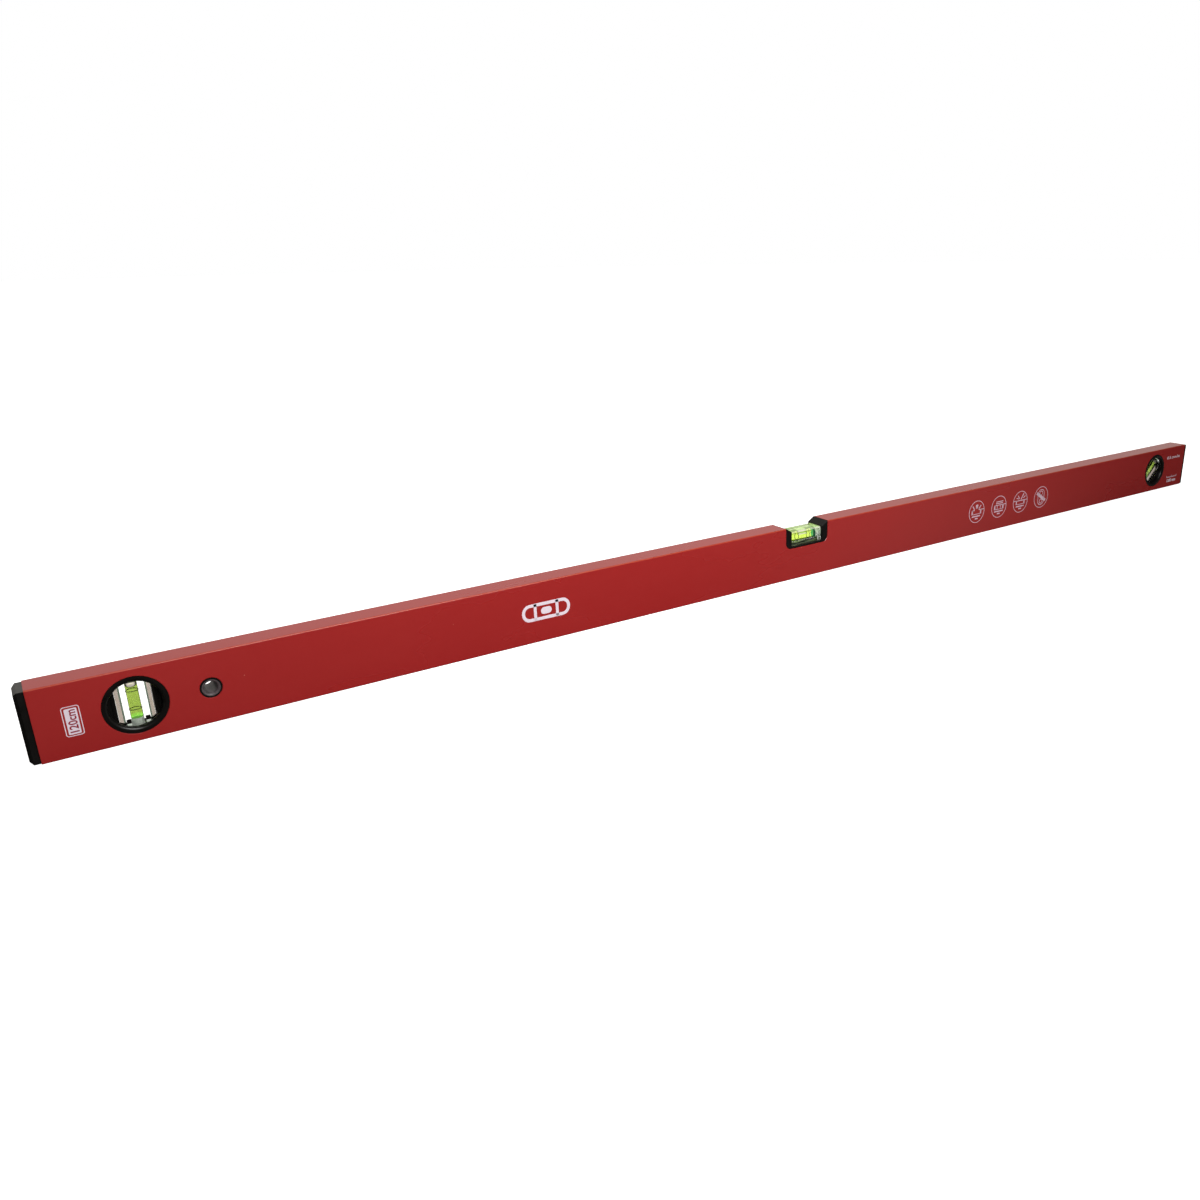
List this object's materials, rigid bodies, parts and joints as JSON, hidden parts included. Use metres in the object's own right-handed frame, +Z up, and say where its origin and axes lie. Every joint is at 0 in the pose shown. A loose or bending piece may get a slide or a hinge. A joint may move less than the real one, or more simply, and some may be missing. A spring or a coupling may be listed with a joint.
{
  "type": "spirit level",
  "caption": "Long box-section spirit level with a top vial in a notch, a plumb vial, a 45 degree vial, end caps and a bushed hanging hole.",
  "frame": {"origin": "middle of the measuring base, on the mid-plane of the section", "axes": "+X along the length, +Z up from the measuring base, -Y out of the front face"},
  "size_m": [1.2, 0.02, 0.048],
  "materials": {
    "body_paint": "satin",
    "cap_rubber": "matte",
    "bush_plastic": "satin",
    "housing_plastic": "satin",
    "frame_plastic": "satin",
    "block_acrylic": "gloss",
    "vial_liquid": "gloss",
    "vial_bubble": "gloss",
    "ring_ink": "matte",
    "plug_plastic": "satin",
    "print_ink": "satin"
  },
  "bodies": {
    "level_body": {"body_extrusion": "body_paint", "left_end_cap": "cap_rubber", "right_end_cap": "cap_rubber", "hang_bush_front": "bush_plastic", "hang_bush_rear": "bush_plastic", "level_vial_frame": "frame_plastic", "plumb_front_housing": "housing_plastic", "plumb_rear_housing": "housing_plastic", "angle_front_housing": "housing_plastic", "angle_rear_housing": "housing_plastic", "plumb_vial_block": "block_acrylic", "plumb_vial_liquid": "vial_liquid", "plumb_vial_plug": "plug_plastic", "plumb_vial_rings": "ring_ink", "angle_vial_block": "block_acrylic", "angle_vial_liquid": "vial_liquid", "angle_vial_plug": "plug_plastic", "angle_vial_rings": "ring_ink", "level_vial_block": "block_acrylic", "level_vial_liquid": "vial_liquid", "level_vial_plug": "plug_plastic", "level_vial_rings": "ring_ink"},
    "plumb_bubble": {"plumb_bubble": "vial_bubble"},
    "angle_bubble": {"angle_bubble": "vial_bubble"},
    "level_bubble": {"level_bubble": "vial_bubble"}
  },
  "joints": [
    {"name": "level_bubble_slide", "type": "slide", "parent": "level_body", "child": "level_bubble", "axis": [1, 0, 0], "range_m": [-0.0078, 0.0078], "stiffness_N_per_m": 5, "deforming": ["level_vial_liquid"]},
    {"name": "plumb_bubble_slide", "type": "slide", "parent": "level_body", "child": "plumb_bubble", "axis": [0, 0, 1], "range_m": [-0.0203, 0], "stiffness_N_per_m": 5, "springref_m": 0.002, "deforming": ["plumb_vial_liquid"]},
    {"name": "angle_bubble_slide", "type": "slide", "parent": "level_body", "child": "angle_bubble", "axis": [0.7071, 0, 0.7071], "range_m": [-0.0203, 0], "stiffness_N_per_m": 5, "springref_m": 0.002, "deforming": ["angle_vial_liquid"]}
  ]
}
